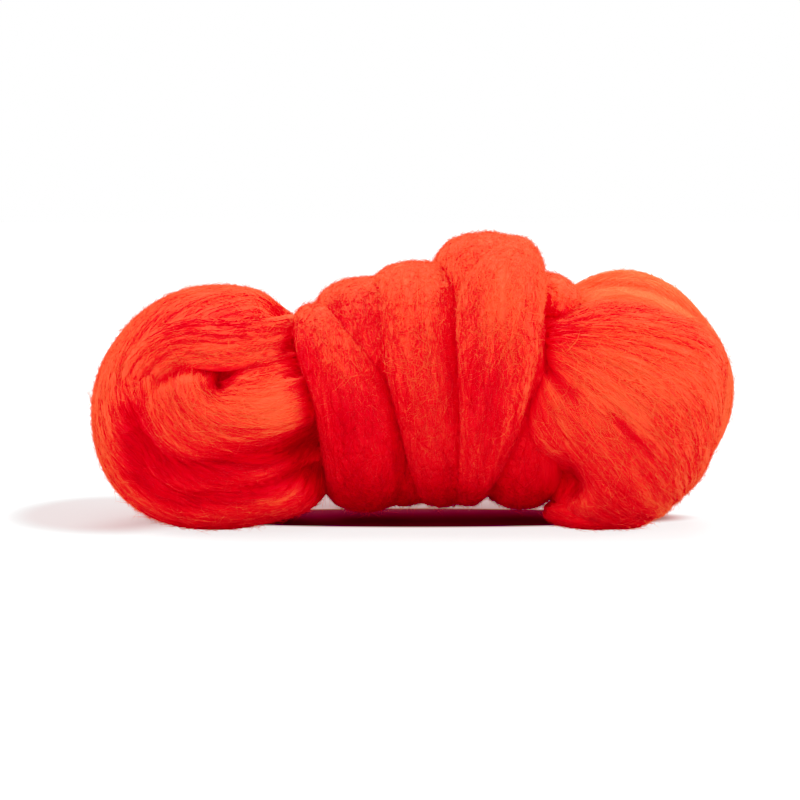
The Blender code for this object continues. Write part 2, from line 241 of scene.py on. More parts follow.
# the loop at the right end: a fan in front, and a ring behind it
rightFan = dict(
    centre=np.array([67.8, -8.5, 41.0]), radii=np.array([35.6, 33.6, 36.4]), below=42.0,
    squash=1.82, square=2.35,
    root=np.array([-0.75, -0.35, 0.56]),         # where its fibres come out of the wraps
    turn=np.array([0.50, 0.15, -0.85]),          # where they turn under
    # each fold also darkens its crease with painted shade
    folds=(
        dict(x=(63.4, 70.0, 76.6), z=(43.3, 35.8, 29.2), strength=(0.6, 1, 0.6), width=1.7,
             depth=1.1, paintedShading=-0.5),
        dict(x=(40.7, 52.1), z=(60.1, 48.7), strength=(1, 0.6), width=3.0, depth=1.6,
             paintedShading=-0.4),
        dict(x=(54.4, 67.3, 81.5, 91.0, 98.6, 103.5, 105.3),
             z=(72.7, 75.1, 74.0, 69.6, 61.8, 53.0, 43.4), strength=(0.4, 1, 1, 1, 0.8, 0.6, 0.2),
             width=3.2, depth=0.8, paintedShading=-0.5),
    ),
    swells=(
        spot(36, 44, 10, 14, 4),
        spot(43, 17, 10, 8, -20, upright=0.0),
        spot(45, 66, 8, 7, 4),
        spot(100, 62, 15, 15, 7),
    ),
)
backRing = dict(
    centre=np.array([73.0, 15.0, 44.3]), middle=(21.5, 25.2), section=(16.3, 17.0),
    ridges=7, ridgeHeight=0.06, ridgeSway=0.6, drawn=0.07,
    # its fold darkens the crease on the ring's upper rim with painted shade
    folds=(
        dict(x=(61.0, 73.1, 85.2, 95.7, 102.7, 107.7), z=(81.7, 81.7, 78.6, 72.7, 65.8, 58.1),
             strength=(0.4, 1, 1, 1, 0.8, 0.4), width=1.8, depth=2.0, paintedShading=-1.0),
    ),
    swells=(),
)
# what the right loop stands on, and the doubled length inside the wraps
foot = dict(centre=np.array([63.0, -6.0, 5.2]), radii=np.array([18.5, 15.0, 6.2]), below=6.2,
            squash=2.0, square=2.0)
core = dict(centre=np.array([8.0, 0.0, 48.0]), radii=np.array([66.0, 29.0, 31.0]), below=31.0,
            squash=2.0, square=2.0)


# meridians from the root to the turn, which aren't opposite: a ball's straight meridians, drawn
# together towards one side
def fanSurface(along, around):
    root, turn = unitVector(rightFan["root"]), unitVector(rightFan["turn"])
    pole, lean = unitVector(root - turn), unitVector(root + turn)
    other = np.cross(pole, lean)
    pull = root.dot(lean)
    sine = np.sin(along)
    towards = sine * np.cos(around)
    straight = np.cos(along)[..., None] * pole + (sine * np.sin(around))[..., None] * other
    outward = ((pull + towards)[..., None] * lean + math.sqrt(1 - pull ** 2) * straight)
    outward = outward / (1 + pull * towards)[..., None]
    points = rightFan["centre"] * mm + outward * ballReach(outward, rightFan)[..., None]
    return folded(points, outward, rightFan)


# a ridged oval section carried round an oval in the upright plane, whose corners are drawn in
def ringSurface(along, around):
    outward = np.stack([np.cos(along), 0 * along, np.sin(along)], -1)
    sway = backRing["ridgeSway"] * np.sin(along)
    ridge = 1 + backRing["ridgeHeight"] * np.cos(backRing["ridges"] * around + sway)
    reach = (ridge * np.cos(around))[..., None] * outward * backRing["section"][0]
    drawn = 1 - backRing["drawn"] * np.sin(2 * along) ** 2
    line = outward * drawn[..., None] * np.array([backRing["middle"][0], 0, backRing["middle"][1]])
    depth = np.stack([0 * around, ridge * np.sin(around), 0 * around], -1) * backRing["section"][1]
    points = mm * (backRing["centre"] + line + reach + depth)
    away = np.cos(around)[..., None] * outward + np.sin(around)[..., None] * np.array([0, 1, 0])
    return folded(points, away, backRing)


# a ball with its own radius along each axis, its poles to the left and right
def ballSurface(ball, along, around):
    sine = np.sin(along)
    outward = np.stack([np.cos(along), sine * np.cos(around), sine * np.sin(around)], -1)
    return mm * (ball["centre"] + outward * ball["radii"])


# where the sliver's middle line passes each side of the winding's axis, wrap by wrap: its x, its
# reach from the axis and its width
sides = dict(top=0.0, shoulder=0.125, front=0.25, low=0.375, bottom=0.5, back=0.75)    # in turns
wrapTable = (
    dict(x=(-31.5, -27.0, -18.8, -16.2, -16.0, -18.0), reach=(24.8, 27.2, 27.8, 25.0, 28.2, 27.0),
         width=(22.0, 25.0, 27.5, 28.5, 30.0, 29.0)),
    dict(x=(-16.0, -12.0, -6.0, -4.5, -4.0, -3.0), reach=(29.6, 26.6, 17.5, 18.0, 28.0, 27.0),
         width=(34.0, 31.0, 28.0, 28.0, 28.0, 28.0)),
    dict(x=(1.5, 2.0, 4.6, 7.4, 9.0, 15.0), reach=(32.4, 32.3, 29.5, 26.5, 31.2, 31.0),
         width=(33.0, 29.0, 25.0, 23.0, 23.0, 30.0)),
    dict(x=(25.5, 28.0, 32.0, 34.5, 37.0, 33.0), reach=(37.4, 30.2, 25.0, 28.0, 37.2, 32.0),
         width=(33.0, 29.0, 27.0, 28.0, 28.0, 28.0)),
    dict(x=(35.0, 28.5, 26.0, 22.5, 18.0, 31.0), reach=(34.0, 37.3, 34.0, 30.5, 32.5, 33.0),
         width=(17.5, 27.0, 24.0, 19.5, 16.0, 24.0)),
)
winding = dict(
    start=dict(turn=-0.25, x=-33.0, reach=20.0, width=17.0, rounding=0.05),
    tuck=dict(turn=5.13, x=45.5, reach=24.0, width=20.0, rounding=0.12, thinning=0.4),
    axisHeight=46.6, axisSlope=0.187, thick=22.0, tuckThick=13.0, square=2.1, step=0.001,
)


# one column of the table, from the start to the tuck, read at each turn count
def windingColumn(column, turn):
    start, tuck = winding["start"], winding["tuck"]
    values = [start[column]] + [value for wrap in wrapTable for value in wrap[column]]
    values += [tuck[column]] * 2
    knots = [start["turn"]]
    knots += [count + side for count in range(len(wrapTable)) for side in sides.values()]
    knots += [len(wrapTable), len(wrapTable) + sides["front"]]
    return smoothBetween(turn, knots, values)


# a helix of changing reach round a sloping axis, and the direction away from that axis
def windingLine(turn):
    x = windingColumn("x", turn)
    angle = fullTurn * turn
    outward = np.stack([0 * angle, -np.sin(angle), np.cos(angle)], -1)
    axis = np.stack([x, 0 * x, winding["axisHeight"] + winding["axisSlope"] * x], -1)
    return mm * (axis + outward * windingColumn("reach", turn)[..., None]), outward


# half-width, half-thickness and the three directions of the sliver at each turn count
def sliverFrame(turn):
    start, tuck = winding["start"], winding["tuck"]
    middle, outward = windingLine(turn)
    step = winding["step"]
    tangent = unitVector(windingLine(turn + step)[0] - windingLine(turn - step)[0])
    outward = unitVector(outward - (outward * tangent).sum(-1)[..., None] * tangent)
    thinning = np.clip((turn - len(wrapTable)) / tuck["thinning"] + 1, 0, 1)
    rounding = np.sqrt(1 - np.clip(1 - (turn - start["turn"]) / start["rounding"], 0, 1) ** 2)
    rounding *= np.sqrt(1 - np.clip(1 - (tuck["turn"] - turn) / tuck["rounding"], 0, 1) ** 2)
    width = mm * windingColumn("width", turn) / 2 * rounding
    thick = winding["thick"] + (winding["tuckThick"] - winding["thick"]) * thinning
    return middle, tangent, outward, np.cross(tangent, outward), width, mm * thick / 2 * rounding


# a squarish oval carried along the winding line
def wrapSurface(turn, around):
    middle, tangent, outward, sideways, width, thick = sliverFrame(turn)
    cosine, sine = np.cos(around), np.sin(around)
    power = 2 / winding["square"]
    beside = width * np.sign(cosine) * np.abs(cosine) ** power
    above = thick * np.sign(sine) * np.abs(sine) ** power
    return middle + sideways * beside[..., None] + outward * above[..., None]


# combed coordinates in mm, for a surface that is flat or round across its fibres: two across the
# fibres and one along them
def flatFlow(width, length):
    return lambda along, across: np.stack([width * across, 0 * across, length * along], -1)


def roundFlow(radius, length):
    return lambda along, around: np.stack(
        [radius * np.cos(around), radius * np.sin(around), length * along], -1)


# rows of the left loop, closer together near its middle, with one far out in each leg
legGrid = dict(reach=4.2, end=12.0, crowding=1.6)
crowd = legGrid["crowding"] * np.linspace(-1, 1, 200)
legRows = legGrid["reach"] * np.sinh(crowd) / math.sinh(legGrid["crowding"])
legRows = np.concatenate([[-legGrid["end"]], legRows, [legGrid["end"]]])
outer = 0.12              # how far the wraps' close columns reach past their outer side, over pi
wrapColumns = math.pi * np.concatenate([
    np.linspace(-0.5, -outer, 8)[:-1], np.linspace(-outer, 1 + outer, 52),
    np.linspace(1 + outer, 1.5, 8)[1:]])

# "rows" and "columns" are a surface's two parameters at the lines of its grid, the first along the
# fibres. "frizz" spreads the fibres, "rough" is its share of the combed relief, its own tone is
# painted light above 0 and painted shade below 0, its spots add more painted light and shade,
# "behind" is how far back these spots reach, and "lying", "crossing" and "fuzz" multiply the
# number of such fibres
forms = dict(
    left_loop=dict(
        surface=leftSurface, rows=legRows,
        columns=math.pi * (1 - np.cos(np.linspace(0, math.pi, 124))) / 2,
        flow=flatFlow(60, 45), frizz=0.8, lying=1.6, fuzz=0.6),
    outer_band=dict(
        surface=bandSurface, rows=np.linspace(0, 1, 150), columns=np.linspace(0, fullTurn, 44),
        flow=roundFlow(8, 115), frizz=0.8, lying=1.6, fuzz=0.6),
    right_fan=dict(
        surface=fanSurface, rows=np.linspace(0, math.pi, 120),
        columns=np.linspace(-math.pi, math.pi, 160),
        flow=roundFlow(34, 38), frizz=0.9, lying=1.6, fuzz=0.6),
    back_ring=dict(
        surface=ringSurface, rows=np.linspace(-math.pi, math.pi, 110),
        columns=np.linspace(0, fullTurn, 74),
        # the ring is lightened all over with painted light, most at its upper right
        flow=roundFlow(18, 30), frizz=0.8, lying=1.6, fuzz=0.6, paintedShading=0.2, behind=24.0,
        paintedShadingSpots=(spot(86, 74, 34, 32, 1.3),)),
    wraps=dict(
        surface=wrapSurface, columns=wrapColumns,
        rows=np.linspace(winding["start"]["turn"], winding["tuck"]["turn"], 600),
        # the wraps are darkened a little all over with painted shade
        flow=roundFlow(14, 260), frizz=2.2, rough=0.6, paintedShading=-0.1, crossing=1.8),
    foot=dict(
        surface=lambda along, around: ballSurface(foot, along, around),
        rows=np.linspace(0, math.pi, 40), columns=np.linspace(0, fullTurn, 50),
        flow=roundFlow(15, 16), frizz=1.0),
    core=dict(
        surface=lambda along, around: ballSurface(core, along, around),
        rows=np.linspace(0, math.pi, 50), columns=np.linspace(0, fullTurn, 50),
        flow=roundFlow(30, 66), frizz=1.0),
)

# all forms are centred together over the middle of the CAD box
corners = []
for form in forms.values():
    rows, columns = np.meshgrid(form["rows"], form["columns"], indexing="ij")
    corners += [form["surface"](rows, columns).reshape(-1, 3)]
corners = np.concatenate(corners)
centring = -(corners.min(0) + corners.max(0)) / 2 * (1, 1, 0)
print("forms centred by", (centring / mm).round(2), "mm")

# combed relief: width and length of its waves and their height, all in mm
relief = ((11.0, 60.0, 0.8), (5.0, 34.0, 0.5), (2.3, 20.0, 0.28), (1.2, 12.0, 0.12))
layerShift = 7            # parts the layers in the noise
floorSoftness = 0.5 * mm


# the form's own surface, centred, with the combed relief along its normal, which is left out where
# the surface shrinks to a point; below the floor it is pressed flat by a rounded step
def skin(form, first, second, lift=0.0, withNormal=False):
    step = 1e-4
    points = form["surface"](first, second)
    alongWay = form["surface"](first + step, second) - form["surface"](first - step, second)
    acrossWay = form["surface"](first, second + step) - form["surface"](first, second - step)
    normal = np.cross(alongWay, acrossWay)
    size = np.linalg.norm(normal, axis=-1)
    normal = normal / np.maximum(size, 1e-30)[..., None]
    normal = np.where((size > 1e-16)[..., None], normal, 0)
    if form.get("flip"):
        normal = -normal
    flow = form["flow"](first, second)
    height = np.zeros(points.shape[:-1])
    rough = form.get("rough", 1.0)
    for index, (width, length, size) in enumerate(relief):
        height += size * rough * softNoise(flow[..., 0] / width + layerShift * index,
                                           flow[..., 1] / width, flow[..., 2] / length)
    points = points + normal * (mm * height + lift)[..., None] + centring
    z = points[..., 2]
    points[..., 2] = (z + np.sqrt(z ** 2 + floorSoftness ** 2)) / 2
    if withNormal:
        return points, normal, alongWay / (2 * step), acrossWay / (2 * step)
    return points


# painted shade (below 0) and painted light (above 0) in the wool's red: bell curves of x and z
# on the front
paintedShadingSpots = (
    spot(-90, 36, 6, 11, -0.1),
    spot(-66, 72, 24, 8, -0.6),
    spot(-62.8, 54, 4, 3.5, -1),
    spot(-42, 42, 12, 7, 0.4),
    spot(-55, 6, 24, 6, 0.3),
    spot(-37, 55, 5, 14, -0.6),
    spot(-21, 38, 11, 15, -0.8),
    spot(-17, 76, 7, 9, -0.3),
    spot(-20, 12, 14, 8, -0.6),
    spot(12, 10, 24, 7, -0.7),
    spot(-27, 74, 6, 8, -0.2),
    spot(7, 30, 9, 14, 0.1),
    spot(29, 80, 9, 12, 0.3),
    spot(24, 48, 7, 13, -0.5),
    spot(74, 52, 18, 12, 0.3),
    spot(64, 7, 22, 8, 0.25),
    spot(47, 81, 6, 5, 0.4),
    spot(46, 69, 8, 4.5, -0.6),
)
paintedShadingForm = dict(fade=6.0, foldShare=0.8, most=1.5)
foldsOf = dict(left_loop=leftLoop["folds"], right_fan=rightFan["folds"],
               back_ring=backRing["folds"])
ballOf = dict(left_loop=leftLoop, right_fan=rightFan, foot=foot, core=core)


# painted light and shade: the form's own painted shading, the spots' bell curves, and a painted
# crease shade as a bell curve of the distance to each fold; the spots and folds fade out at the
# form's "behind"
def paintedShadingAt(name, points):
    x, z = (points[..., 0] - centring[0]) / mm, points[..., 2] / mm
    paintedShading = np.full(x.shape, forms[name].get("paintedShading", 0.0))
    behind = forms[name].get("behind", 0.0)
    front = 1 / (1 + np.exp((points[..., 1] / mm - behind) / paintedShadingForm["fade"]))
    for shade in (*paintedShadingSpots, *forms[name].get("paintedShadingSpots", ())):
        paintedShading += spotBell(shade, x, z) * front
    for fold in foldsOf.get(name, ()):
        path, strength = foldPath(fold)
        distance = np.hypot(x[..., None] - path[:, 0], z[..., None] - path[:, 1])
        strength = strength[distance.argmin(-1)]
        bell = np.exp(-(distance.min(-1) / (paintedShadingForm["foldShare"] * fold["width"])) ** 2)
        paintedShading += fold["paintedShading"] * strength * bell * front
    return np.clip(paintedShading, -paintedShadingForm["most"], paintedShadingForm["most"])


# a normal must lead away from the form's inside, which is tried at a few places of its grid
tried = slice(5, -5, 7)
for name, form in forms.items():
    rows, columns = form["rows"], form["columns"]
    first, second = np.meshgrid(rows[tried], columns[tried], indexing="ij")
    points, normal, _, _ = skin(form, first, second, withNormal=True)
    if name == "wraps":
        inside = sliverFrame(first)[0] + centring
    elif name == "outer_band":
        inside = (bandSurface(first, 0 * second) + bandSurface(first, 0 * second + math.pi)) / 2
        inside = inside + centring
    elif name == "back_ring":
        inside = ringSurface(first, second * 0 + math.pi / 2) * (1, 0, 1) + centring
        inside[..., 1] = backRing["centre"][1] * mm + centring[1]
    else:
        inside = ballOf[name]["centre"] * mm + centring
    form["flip"] = ((points - inside) * normal).sum() < 0
    print(name, "normal flipped" if form["flip"] else "normal kept")


# a socket of a node group, with its value if it is to have one
def newSocket(group, name, direction, kind, value=None):
    socket = group.interface.new_socket(name, in_out=direction, socket_type=kind)
    if value is not None:
        socket.default_value = value


# a value for a socket, or another socket that is joined to it
def setSocket(tree, socket, value):
    if isinstance(value, bpy.types.NodeSocket):
        tree.links.new(value, socket)
    else:
        socket.default_value = value


# the same for several sockets of a node, each named with "_" for a space
def setSockets(tree, node, **inputs):
    for name, value in inputs.items():
        setSocket(tree, node.inputs[name.replace("_", " ")], value)
    return node


# a new node with its sockets set
def addNode(tree, kind, **inputs):
    return setSockets(tree, tree.nodes.new(kind), **inputs)


# the result of one operation on values and sockets
def worked(tree, operation, *values, kind="ShaderNodeMath", result=0):
    node = tree.nodes.new(kind)
    node.operation = operation
    for socket, value in zip(node.inputs, values):
        setSocket(tree, socket, value)
    return node.outputs[result]


# the first of two values or colours where the share is 0, and the second where it is 1
def blended(tree, share, first, second, kind="FLOAT"):
    node = tree.nodes.new("ShaderNodeMix")
    node.data_type = kind
    return setSockets(tree, node, Factor=share, A=first, B=second).outputs["Result"]


# a material with its nodes and its shader
def newMaterial(name):
    material = bpy.data.materials.new(name)
    material.use_nodes = True
    tree = material.node_tree
    return material, tree, tree.nodes["Principled BSDF"]


wool = dict(
    deepest=(0.60, 0.026, 0.017), deep=(0.74, 0.044, 0.023), body=(0.84, 0.066, 0.030),
    light=(0.93, 0.112, 0.046), lightest=(0.98, 0.20, 0.078),
    skinRamp=(0.2, 0.38, 0.55, 0.72, 0.95), fibreRamp=(0.0, 0.25, 0.5, 0.75, 1.0), paintedShadingShift=0.3,
    roughness=0.85, specular=0.1, sheen=0.35, sheenTint=(1.0, 0.52, 0.20), sheenRoughness=0.45,
    subsurface=0.35, scatter=(1.0, 0.18, 0.10), scatterScale=0.003,
    bump=0.35, bumpDistance=0.0004,
    streakWidth=0.5, streakLength=9.0, tilts=(0.13, -0.16), roll=0.7, layerShift=(3.0, 5.0),
    lockScale=(0.22, 0.22, 0.02), lockShare=0.4,
)


# two layers of noise stretched along the combed direction and crossed by a small angle, of which
# the lighter shows, and one broad layer for the locks
def makeCombedGroup():
    group = bpy.data.node_groups.new("combedWool", "ShaderNodeTree")
    newSocket(group, "Flow", "INPUT", "NodeSocketVector")
    newSocket(group, "Streak Width", "INPUT", "NodeSocketFloat", wool["streakWidth"])
    newSocket(group, "Streak Length", "INPUT", "NodeSocketFloat", wool["streakLength"])
    newSocket(group, "Streaks", "OUTPUT", "NodeSocketFloat")
    newSocket(group, "Locks", "OUTPUT", "NodeSocketFloat")
    flow, width, length = group.nodes.new("NodeGroupInput").outputs[:3]
    layers = []
    for index, tilt in enumerate(wool["tilts"]):
        shiftX, shiftY = wool["layerShift"]
        turned = addNode(group, "ShaderNodeMapping", Vector=flow,
                         Rotation=(0.0, tilt, tilt * wool["roll"]),
                         Location=(shiftX * index, shiftY * index, 0.0))
        across, along = (worked(group, "DIVIDE", 1.0, size) for size in (width, length))
        squeeze = addNode(group, "ShaderNodeCombineXYZ", X=across, Y=across, Z=along)
        scaled = worked(group, "MULTIPLY", turned.outputs["Vector"], squeeze.outputs["Vector"],
                        kind="ShaderNodeVectorMath")
        noise = addNode(group, "ShaderNodeTexNoise", Vector=scaled, Scale=1.0, Detail=3.0,
                        Roughness=0.55)
        layers += [noise.outputs["Fac"]]
    broad = worked(group, "MULTIPLY", flow, wool["lockScale"], kind="ShaderNodeVectorMath")
    locks = addNode(group, "ShaderNodeTexNoise", Vector=broad, Scale=1.0, Detail=2.0,
                    Roughness=0.5)
    addNode(group, "NodeGroupOutput", Streaks=worked(group, "MAXIMUM", *layers),
            Locks=locks.outputs["Fac"])
    return group


# one of the wool's five reds for each shade, blended between the five places
def woolColour(tree, shade, places):
    ramp = addNode(tree, "ShaderNodeValToRGB", Fac=shade)
    reds = [wool[name] for name in ("deepest", "deep", "body", "light", "lightest")]
    stops = ramp.color_ramp.elements
    stops[0].position, stops[1].position = places[0], places[-1]
    for place in places[1:-1]:
        stops.new(place)
    for stop, red in zip(stops, reds):
        stop.color = (*red, 1)
    return ramp.outputs["Color"]


# what the combed wool and the loose fibres share
def setWoolShader(tree, shader, colour):
    setSockets(tree, shader, Base_Color=colour, Roughness=wool["roughness"],
               Specular_IOR_Level=wool["specular"], Sheen_Weight=wool["sheen"],
               Sheen_Tint=(*wool["sheenTint"], 1), Sheen_Roughness=wool["sheenRoughness"])


# streaks lighten and darken the red, and stand up as fine ridges; each corner's painted light and
# shade shifts the red as well
def makeCombedMaterial(group):
    material, tree, shader = newMaterial("combedRedWool")
    flow, paintedShading = (tree.nodes.new("ShaderNodeAttribute") for _ in range(2))
    flow.attribute_name, paintedShading.attribute_name = "flow", "paintedShading"
    combed = tree.nodes.new("ShaderNodeGroup")
    combed.node_tree = group
    setSockets(tree, combed, Flow=flow.outputs["Vector"])
    streaks = combed.outputs["Streaks"]
    mixed = blended(tree, wool["lockShare"], streaks, combed.outputs["Locks"])
    shade = worked(tree, "MULTIPLY_ADD", paintedShading.outputs["Fac"], wool["paintedShadingShift"], mixed)
    bump = addNode(tree, "ShaderNodeBump", Height=streaks, Strength=wool["bump"],
                   Distance=wool["bumpDistance"])
    setWoolShader(tree, shader, woolColour(tree, shade, wool["skinRamp"]))
    setSockets(tree, shader, Normal=bump.outputs["Normal"], Subsurface_Weight=wool["subsurface"],
               Subsurface_Radius=wool["scatter"], Subsurface_Scale=wool["scatterScale"])
    return material


# each fibre has one shade, laid out along the map's first axis
def makeFibreMaterial():
    material, tree, shader = newMaterial("looseRedFibre")
    place = tree.nodes.new("ShaderNodeUVMap")
    place.uv_map = "shade"
    parts = addNode(tree, "ShaderNodeSeparateXYZ", Vector=place.outputs["UV"])
    setWoolShader(tree, shader, woolColour(tree, parts.outputs["X"], wool["fibreRamp"]))
    return material


combedWool = makeCombedMaterial(makeCombedGroup())
looseFibre = makeFibreMaterial()


# an object at the origin for this mesh, light or camera
def addObject(name, data):
    thing = bpy.data.objects.new(name, data)
    bpy.context.scene.collection.objects.link(thing)
    return thing


# a mesh of these points, its faces given by their corners in turn and by where each face starts
def makeMesh(name, points, corners, starts):
    mesh = bpy.data.meshes.new(name)
    mesh.vertices.add(points.size // 3)
    mesh.vertices.foreach_set("co", points.ravel())
    mesh.loops.add(len(corners))
    mesh.loops.foreach_set("vertex_index", corners)
    mesh.polygons.add(len(starts))
    mesh.polygons.foreach_set("loop_start", starts)
    return mesh


# a piece of wool, smooth, that rides on the body and shows in place of its solid
def showPiece(mesh, material):
    mesh.materials.append(material)
    mesh.shade_smooth()
    piece = addObject(mesh.name, mesh)
    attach(piece, "root")
    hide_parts("wound_roving")
    return piece


weldGap = 0.01 * mm


# a grid of the form's two parameters; its seams and poles are welded, and each corner keeps its
# combed coordinates, its tone and its place on the grid
def makeSkinPiece(name, form):
    rows, columns = form["rows"], form["columns"]
    first, second = np.meshgrid(rows, columns, indexing="ij")
    points = skin(form, first, second)
    if name != "left_loop":
        points[:, -1] = points[:, 0]
    if name == "back_ring":
        points[-1] = points[0]
    flow = form["flow"](first, second).reshape(-1, 3)
    across, along = np.meshgrid(np.linspace(0, 1, len(columns)), np.linspace(0, 1, len(rows)))
    place = np.column_stack([across.ravel(), along.ravel()])
    count = len(columns)
    corner = (np.arange(len(rows) - 1)[:, None] * count + np.arange(count - 1)).ravel()
    faces = np.column_stack([corner, corner + 1, corner + count + 1, corner + count])
    if not form["flip"]:
        faces = faces[:, ::-1]
    mesh = makeMesh("wool_" + name, points, faces.ravel(), np.arange(0, faces.size, 4))
    combed = mesh.attributes.new("flow", "FLOAT_VECTOR", "CORNER")
    combed.data.foreach_set("vector", flow[faces.ravel()].ravel())
    shade = mesh.attributes.new("paintedShading", "FLOAT", "CORNER")
    shade.data.foreach_set("value", paintedShadingAt(name, points).ravel()[faces.ravel()])
    layer = mesh.uv_layers.new(name="OFBake")
    layer.uv.foreach_set("vector", place[faces.ravel()].ravel())
    mesh.update(calc_edges=True)
    shape = bmesh.new()
    shape.from_mesh(mesh)
    bmesh.ops.remove_doubles(shape, verts=shape.verts, dist=weldGap)
    bmesh.ops.recalc_face_normals(shape, faces=shape.faces)
    shape.to_mesh(mesh)
    shape.free()
    return showPiece(mesh, combedWool)


for name, form in forms.items():
    piece = makeSkinPiece(name, form)
    print(piece.name, len(piece.data.polygons), "faces")


# which places may hold a fibre: the wraps are looked at in sections, away from the sliver's ends
# and from the place's own turn, the band covers the left loop but for its rim, and of a form's
# grid one line in "every" is used. Lengths are in mm
showing = dict(
    sections=260, ends=0.02, ownTurn=0.2, sectionDepth=3.0, ringThickness=16.0,
    bandFrom=0.03, bandTo=0.8, bandSteps=60, bandRim=2.5, every=3,
    aboveFloor=0.6, outside=-0.5, bandOutside=-0.3,
)
farAway = 1.0


# how far each point is outside a ball form, negative inside it
def outsideBall(points, ball):
    away = points - ball["centre"] * mm - centring
    distance = np.linalg.norm(away, axis=-1)
    return distance - ballReach(away / distance[..., None], ball)


# the same for the wraps, from the nearest of many sections of the sliver
def outsideWraps(points, ownTurn=None):
    first, last = winding["start"]["turn"], winding["tuck"]["turn"]
    turns = np.linspace(first + showing["ends"], last - showing["ends"], showing["sections"])
    middle, tangent, outward, sideways, width, thick = sliverFrame(turns)
    least = np.full(len(points), farAway)
    for index in range(len(turns)):
        away = points - middle[index] - centring
        beside = np.abs(away @ sideways[index]) / width[index]
        above = np.abs(away @ outward[index]) / thick[index]
        ahead = np.abs(away @ tangent[index]) / (showing["sectionDepth"] * mm)
        power = winding["square"]
        gap = (beside ** power + above ** power + ahead ** power) ** (1 / power)
        gap = (gap - 1) * thick[index]
        if ownTurn is not None:
            own = np.abs(ownTurn - turns[index]) < showing["ownTurn"]
            gap = np.where(own, farAway, gap)
        least = np.minimum(least, gap)
    return least


# how far each point is outside the ring
def outsideRing(points):
    away = points - backRing["centre"] * mm - centring
    angle = np.arctan2(away[:, 2] / backRing["middle"][1], away[:, 0] / backRing["middle"][0])
    line = mm * np.column_stack([np.cos(angle) * backRing["middle"][0], 0 * angle,
                                 np.sin(angle) * backRing["middle"][1]])
    radial = np.hypot(*(away - line)[:, [0, 2]].T) / (mm * backRing["section"][0])
    reach = np.hypot(radial, away[:, 1] / (mm * backRing["section"][1]))
    return (reach - 1) * showing["ringThickness"] * mm


# whether a point of the left loop lies under the middle of the outer band
def underBand(points):
    where = np.linspace(showing["bandFrom"], showing["bandTo"], showing["bandSteps"])
    knots = np.linspace(0, 1, len(band["x"]))
    x, z, width = (smoothBetween(where, knots, band[key]) for key in ("x", "z", "width"))
    flat = (points - centring) / mm
    distance = np.hypot(flat[:, :1] - x, flat[:, 2:] - z)
    near = distance.argmin(-1)
    return (distance.min(-1) < width[near] - showing["bandRim"]) & (flat[:, 1] < 0)


# a point shows if it lies outside every other form
def shows(name, points, turn):
    least = showing["outside"] * mm
    shown = points[:, 2] > showing["aboveFloor"] * mm
    for other, ball in ballOf.items():
        if other != name and not (name == "outer_band" and other == "left_loop"):
            shown &= outsideBall(points, ball) > least
    if name == "outer_band":
        shown &= outsideBall(points, leftLoop) > showing["bandOutside"] * mm
    if name != "back_ring":
        shown &= outsideRing(points) > least
    shown &= outsideWraps(points, turn if name == "wraps" else None) > least
    if name == "left_loop":
        shown &= ~underBand(points)
    return shown


# random places on a form, evenly over its shown area, as its two parameters
def scatter(name, form, count, random):
    rows, columns = form["rows"][1:-1:showing["every"]], form["columns"][::showing["every"]]
    first, second = np.meshgrid((rows[1:] + rows[:-1]) / 2, (columns[1:] + columns[:-1]) / 2,
                                indexing="ij")
    points, _, alongWay, acrossWay = skin(form, first, second, withNormal=True)
    area = np.linalg.norm(np.cross(alongWay, acrossWay), axis=-1)
    area = area * np.diff(rows)[:, None] * np.diff(columns)
    area = area.ravel() * shows(name, points.reshape(-1, 3), first.ravel())
    total = area.cumsum()
    cell = np.searchsorted(total, random.random(count) * total[-1])
    i, j = np.unravel_index(cell, first.shape)
    a = first[i, j] + (random.random(count) - 0.5) * np.diff(rows)[i]
    b = second[i, j] + (random.random(count) - 0.5) * np.diff(columns)[j]
    return a, b, total[-1]


fibreForm = dict(fall=0.6, root=-0.1, leastStretch=1e-4, taper=0.45, strip=0.02, clearance=0.02)


# each fibre steps over the surface from its middle, both ways: a step of its length moves the
# parameters by as much as the surface's stretch there allows, at an angle to the combed way that
# turns a little at every step; its height over the surface is a curve along it, and a rooted
# fibre rises from the wool at one end
def fibreLines(form, a, b, kind, random):
    count, steps = len(a), kind["steps"]
    length = mm * random.uniform(*kind["length"], count)
    angle = np.radians(random.normal(0, kind["slant"] * form["frizz"], count))
    curl = np.radians(random.normal(0, kind["curl"] * form["frizz"], (count, steps + 1)))
    low, high = kind["lift"]
    tips = random.uniform(0, 1, (count, 2)) ** kind["tipPower"] * kind["tipLift"]
    hump = low + (high - low) * random.uniform(0, 1, count) ** kind["liftPower"]
    t = np.linspace(-1, 1, steps + 1)
    lift = hump[:, None] * (1 - fibreForm["fall"] * t ** 2) + tips[:, :1] * np.clip(-t, 0, 1) ** 2
    if kind["rooted"]:
        angle += math.pi * (random.random(count) < 0.5)
        lift = hump[:, None] * (1 + t) / 2 + fibreForm["root"]
    lift = lift + tips[:, 1:] * np.clip(t, 0, 1) ** 2
    lines, normals = np.zeros((count, steps + 1, 3)), np.zeros((count, steps + 1, 3))
    middle = steps // 2
    for way in (1, -1):
        first, second, heading = a.copy(), b.copy(), angle.copy()
        indices = range(middle, steps + 1) if way > 0 else range(middle, -1, -1)
        for index in indices:
            points, normal, alongWay, acrossWay = skin(
                form, first, second, mm * lift[:, index], withNormal=True)
            lines[:, index], normals[:, index] = points, normal
            heading = heading + curl[:, index]
            stretch, slip = (np.maximum(np.linalg.norm(side, axis=-1), fibreForm["leastStretch"])
                             for side in (alongWay, acrossWay))
            first = first + way * length / steps * np.cos(heading) / stretch
            second = second + way * length / steps * np.sin(heading) / slip
            first = np.clip(first, form["rows"][1], form["rows"][-2])
    return lines, normals


